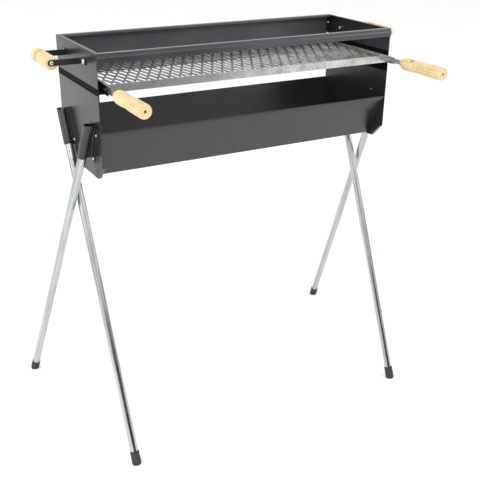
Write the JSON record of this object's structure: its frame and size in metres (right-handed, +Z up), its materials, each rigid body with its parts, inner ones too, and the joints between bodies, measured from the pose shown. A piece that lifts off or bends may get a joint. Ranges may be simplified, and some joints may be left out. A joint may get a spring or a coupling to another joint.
{
  "type": "charcoal roaster",
  "caption": "Free-standing charcoal roaster: long sheet steel trough with wind shield, slide-out mesh grate with wooden handles, and crossed plug-in tube legs.",
  "frame": {"origin": "middle of the whole object's footprint, on the floor", "axes": "+X to the right seen from the front, +Y to the back, +Z up"},
  "size_m": [0.833, 0.5228, 0.806],
  "materials": {
    "black_paint": "satin black heat paint on sheet steel",
    "galvanised_steel": "galvanised, slightly mottled",
    "zinc_tube": "bright zinc plate with drawn streaks",
    "zinc_fasteners": "bright zinc plate",
    "pale_pine": "turned and sanded, thin clear lacquer",
    "black_rubber": "matt black moulded cap"
  },
  "bodies": {
    "roaster_box": {"upper_end_panel_left": "black_paint", "upper_end_panel_right": "black_paint", "upper_back_panel": "black_paint", "front_cross_bar": "black_paint", "guide_rail_left": "black_paint", "guide_rail_right": "black_paint", "lower_end_panel_left": "black_paint", "lower_end_panel_right": "black_paint", "firebox_trough": "black_paint", "side_arm_left_front": "black_paint", "side_arm_left_rear": "black_paint", "side_arm_right_front": "black_paint", "side_arm_right_rear": "black_paint", "side_grip_left": "pale_pine", "side_grip_right": "pale_pine", "leg_socket_inner_left": "black_paint", "leg_socket_inner_right": "black_paint", "leg_socket_outer_left": "black_paint", "leg_socket_outer_right": "black_paint", "corner_screws": "zinc_fasteners", "side_grip_screws": "zinc_fasteners", "side_arm_bolts": "zinc_fasteners", "side_arm_nuts": "zinc_fasteners", "socket_screws": "zinc_fasteners"},
    "grate": {"grate_mesh": "galvanised_steel", "grate_front_bar": "galvanised_steel", "grate_back_bar": "galvanised_steel", "grate_side_bar_left": "galvanised_steel", "grate_side_bar_right": "galvanised_steel", "grate_strap_left": "galvanised_steel", "grate_strap_right": "galvanised_steel", "grate_rivets": "zinc_fasteners", "grate_handle_left": "pale_pine", "grate_handle_right": "pale_pine"},
    "leg_inner_left": {"leg_tube_inner_left": "zinc_tube", "foot_cap_inner_left": "black_rubber"},
    "leg_inner_right": {"leg_tube_inner_right": "zinc_tube", "foot_cap_inner_right": "black_rubber"},
    "leg_outer_left": {"leg_tube_outer_left": "zinc_tube", "foot_cap_outer_left": "black_rubber"},
    "leg_outer_right": {"leg_tube_outer_right": "zinc_tube", "foot_cap_outer_right": "black_rubber"}
  },
  "joints": [
    {"name": "grate_slide", "type": "slide", "parent": "roaster_box", "child": "grate", "axis": [0, -1, 0], "range_m": [0, 0.2]},
    {"name": "leg_inner_left_pull", "type": "slide", "parent": "roaster_box", "child": "leg_inner_left", "axis": [0.0109, -0.4062, -0.9137], "range_m": [0, 0.06]},
    {"name": "leg_inner_right_pull", "type": "slide", "parent": "roaster_box", "child": "leg_inner_right", "axis": [-0.0109, -0.4062, -0.9137], "range_m": [0, 0.06]},
    {"name": "leg_outer_left_pull", "type": "slide", "parent": "roaster_box", "child": "leg_outer_left", "axis": [-0.097, 0.4165, -0.904], "range_m": [0, 0.06]},
    {"name": "leg_outer_right_pull", "type": "slide", "parent": "roaster_box", "child": "leg_outer_right", "axis": [0.097, 0.4165, -0.904], "range_m": [0, 0.06]}
  ]
}
